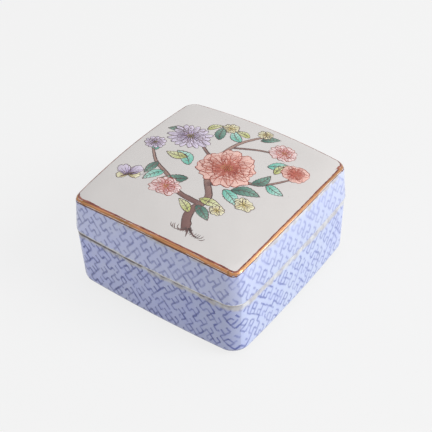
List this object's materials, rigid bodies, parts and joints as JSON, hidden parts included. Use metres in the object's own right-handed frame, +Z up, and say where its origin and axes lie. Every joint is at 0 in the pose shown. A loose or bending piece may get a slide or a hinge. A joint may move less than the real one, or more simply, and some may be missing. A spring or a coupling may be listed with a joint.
{
  "type": "lidded box",
  "caption": "Square glazed porcelain box with rounded corners, a set-in foot rim and a softly domed lid that slips over a raised inner collar.",
  "frame": {"origin": "on the table, at the middle of the foot rim's square", "axes": "+Z up, out of the open base; X and Y square to the sides"},
  "size_m": [0.07, 0.07, 0.0396],
  "materials": {
    "base_porcelain": "glossy lavender-blue overglaze enamel with a darker blue key fret, white glaze inside, unglazed foot rim",
    "lid_porcelain": "glossy grey-white glaze on the crown with painted enamel flowers, gilt and iron-red edge, lavender-blue enamel with a key fret on the sides"
  },
  "bodies": {
    "base": {"box_base": "base_porcelain"},
    "lid": {"box_lid": "lid_porcelain"}
  },
  "joints": [
    {"name": "lid_lift", "type": "slide", "parent": "base", "child": "lid", "axis": [0, 0, 1], "range_m": [0, 0.045]}
  ]
}
